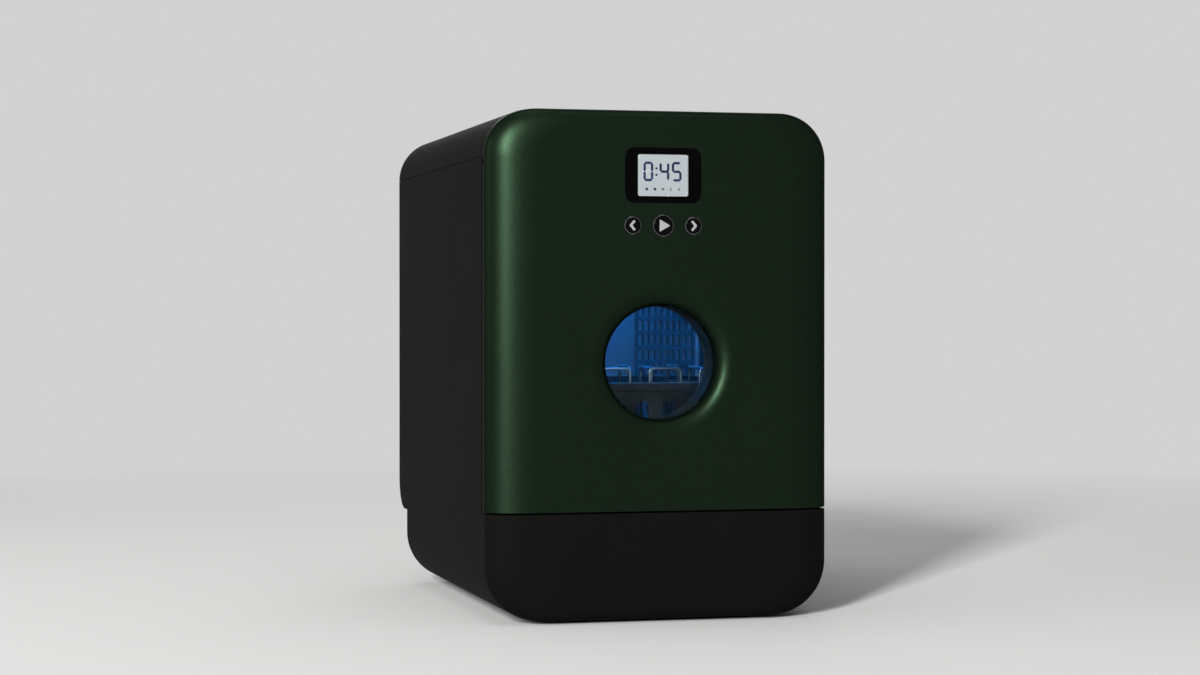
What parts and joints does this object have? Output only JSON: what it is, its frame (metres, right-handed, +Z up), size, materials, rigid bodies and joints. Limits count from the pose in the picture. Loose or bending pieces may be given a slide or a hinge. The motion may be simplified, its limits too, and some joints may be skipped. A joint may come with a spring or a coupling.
{
  "type": "countertop dishwasher",
  "caption": "Compact countertop dishwasher with a side-hinged door, a round window, a small display with push buttons, a pull-out rack and a top fill port",
  "frame": {"origin": "centre of the footprint's bounding box, on the surface the feet stand on", "axes": "+X to the right seen from the front, +Y to the back, +Z up; the door faces -Y"},
  "size_m": [0.34, 0.49, 0.49],
  "materials": {
    "casing_black": "fine-grained matte moulded plastic, nearly black",
    "door_green": "satin metallic dark green paint on a moulded shell",
    "frame_plastic": "dark matte plastic",
    "liner_plastic": "dark grey liner plastic",
    "tub_steel": "stainless sheet, satin",
    "grille_plastic": "grey moulded grille",
    "light_blue": "blue light strip lens",
    "hinge_steel": "zinc plated steel",
    "glass_clear": "clear toughened glass",
    "glass_black": "gloss black display lens",
    "screen_white": "lit display",
    "board_green": "circuit board",
    "ring_chrome": "bright chrome rings",
    "button_black": "gloss black button caps",
    "rubber_black": "soft black rubber",
    "rack_grey": "dark grey rack plastic",
    "wire_silver": "bright wire",
    "arm_grey": "grey moulded spray arm",
    "motor_steel": "motor can",
    "pump_plastic": "dark pump housings",
    "tank_white": "translucent white tank plastic",
    "bush_ivory": "acetal bushes"
  },
  "bodies": {
    "body": {"casing": "casing_black", "top_cover": "casing_black", "rear_cover": "casing_black", "plinth": "casing_black", "feet": "rubber_black", "front_frame": "frame_plastic", "base_deck": "frame_plastic", "tub": "tub_steel", "back_grille": "grille_plastic", "tub_light": "light_blue", "rack_runners": "tub_steel", "sump": "pump_plastic", "filter_cup": "motor_steel", "spray_post": "arm_grey", "heater_ring": "motor_steel", "wash_pump_housing": "pump_plastic", "wash_motor": "motor_steel", "drain_pump_housing": "pump_plastic", "drain_motor": "motor_steel", "water_tank": "tank_white", "fill_funnel": "pump_plastic", "water_hoses": "rubber_black", "inlet_valve": "pump_plastic", "inlet_connector": "tank_white", "drain_spigot": "pump_plastic", "mains_inlet": "frame_plastic", "fan_housing": "pump_plastic", "main_board": "board_green", "electronics_box": "pump_plastic", "hinge_arm_upper": "hinge_steel", "hinge_plate_lower": "hinge_steel", "magnet_catch": "hinge_steel", "tub_seal": "rubber_black", "rear_screws": "hinge_steel", "fill_lid_pin": "hinge_steel"},
    "door": {"door_shell": "door_green", "door_liner": "liner_plastic", "outer_pane": "glass_clear", "inner_pane": "glass_clear", "window_sleeve": "liner_plastic", "window_gaskets": "rubber_black", "display_glass": "glass_black", "display_screen": "screen_white", "control_board": "board_green", "button_rings": "ring_chrome", "hinge_bushes": "bush_ivory", "striker_plate": "hinge_steel"},
    "button_back": {"button_back": "button_black"},
    "button_play": {"button_play": "button_black"},
    "button_next": {"button_next": "button_black"},
    "rack": {"basket_walls": "rack_grey", "basket_rim": "rack_grey", "basket_floor": "rack_grey", "wire_hoops": "wire_silver", "cutlery_basket": "rack_grey"},
    "fill_lid": {"fill_lid": "casing_black"},
    "spray_arm": {"spray_arm": "arm_grey"},
    "wash_impeller": {"wash_impeller": "arm_grey"},
    "drain_impeller": {"drain_impeller": "arm_grey"},
    "fan_rotor": {"fan_rotor": "pump_plastic"}
  },
  "joints": [
    {"name": "door_hinge", "type": "hinge", "parent": "body", "child": "door", "pos_m": [-0.163, -0.2164, 0.27], "axis": [0, 0, -1], "range_deg": [0, 100]},
    {"name": "rack_slide", "type": "slide", "parent": "body", "child": "rack", "axis": [0, -1, 0], "range_m": [0, 0.08]},
    {"name": "button_back_press", "type": "slide", "parent": "door", "child": "button_back", "axis": [0, 1, 0], "range_m": [0, 0.0012], "stiffness_N_per_m": 800},
    {"name": "button_play_press", "type": "slide", "parent": "door", "child": "button_play", "axis": [0, 1, 0], "range_m": [0, 0.0012], "stiffness_N_per_m": 800},
    {"name": "button_next_press", "type": "slide", "parent": "door", "child": "button_next", "axis": [0, 1, 0], "range_m": [0, 0.0012], "stiffness_N_per_m": 800},
    {"name": "fill_lid_hinge", "type": "hinge", "parent": "body", "child": "fill_lid", "pos_m": [0, 0.219, 0.4876], "axis": [-1, 0, 0], "range_deg": [0, 95]},
    {"name": "spray_arm_spin", "type": "hinge", "parent": "body", "child": "spray_arm", "pos_m": [0, -0.03495, 0.125], "axis": [0, 0, 1], "continuous": true},
    {"name": "wash_pump_spin", "type": "hinge", "parent": "body", "child": "wash_impeller", "pos_m": [-0.078, 0.036, 0.065], "axis": [0, 0, 1], "continuous": true},
    {"name": "drain_pump_spin", "type": "hinge", "parent": "body", "child": "drain_impeller", "pos_m": [0.078, 0.04, 0.048], "axis": [0, 0, 1], "continuous": true},
    {"name": "fan_spin", "type": "hinge", "parent": "body", "child": "fan_rotor", "pos_m": [-0.078, 0.03, 0.445], "axis": [0, 0, 1], "continuous": true}
  ],
  "couplings": [
    {"joint": "rack_slide", "follows": "door_hinge", "m_per_rad": 0.045}
  ]
}
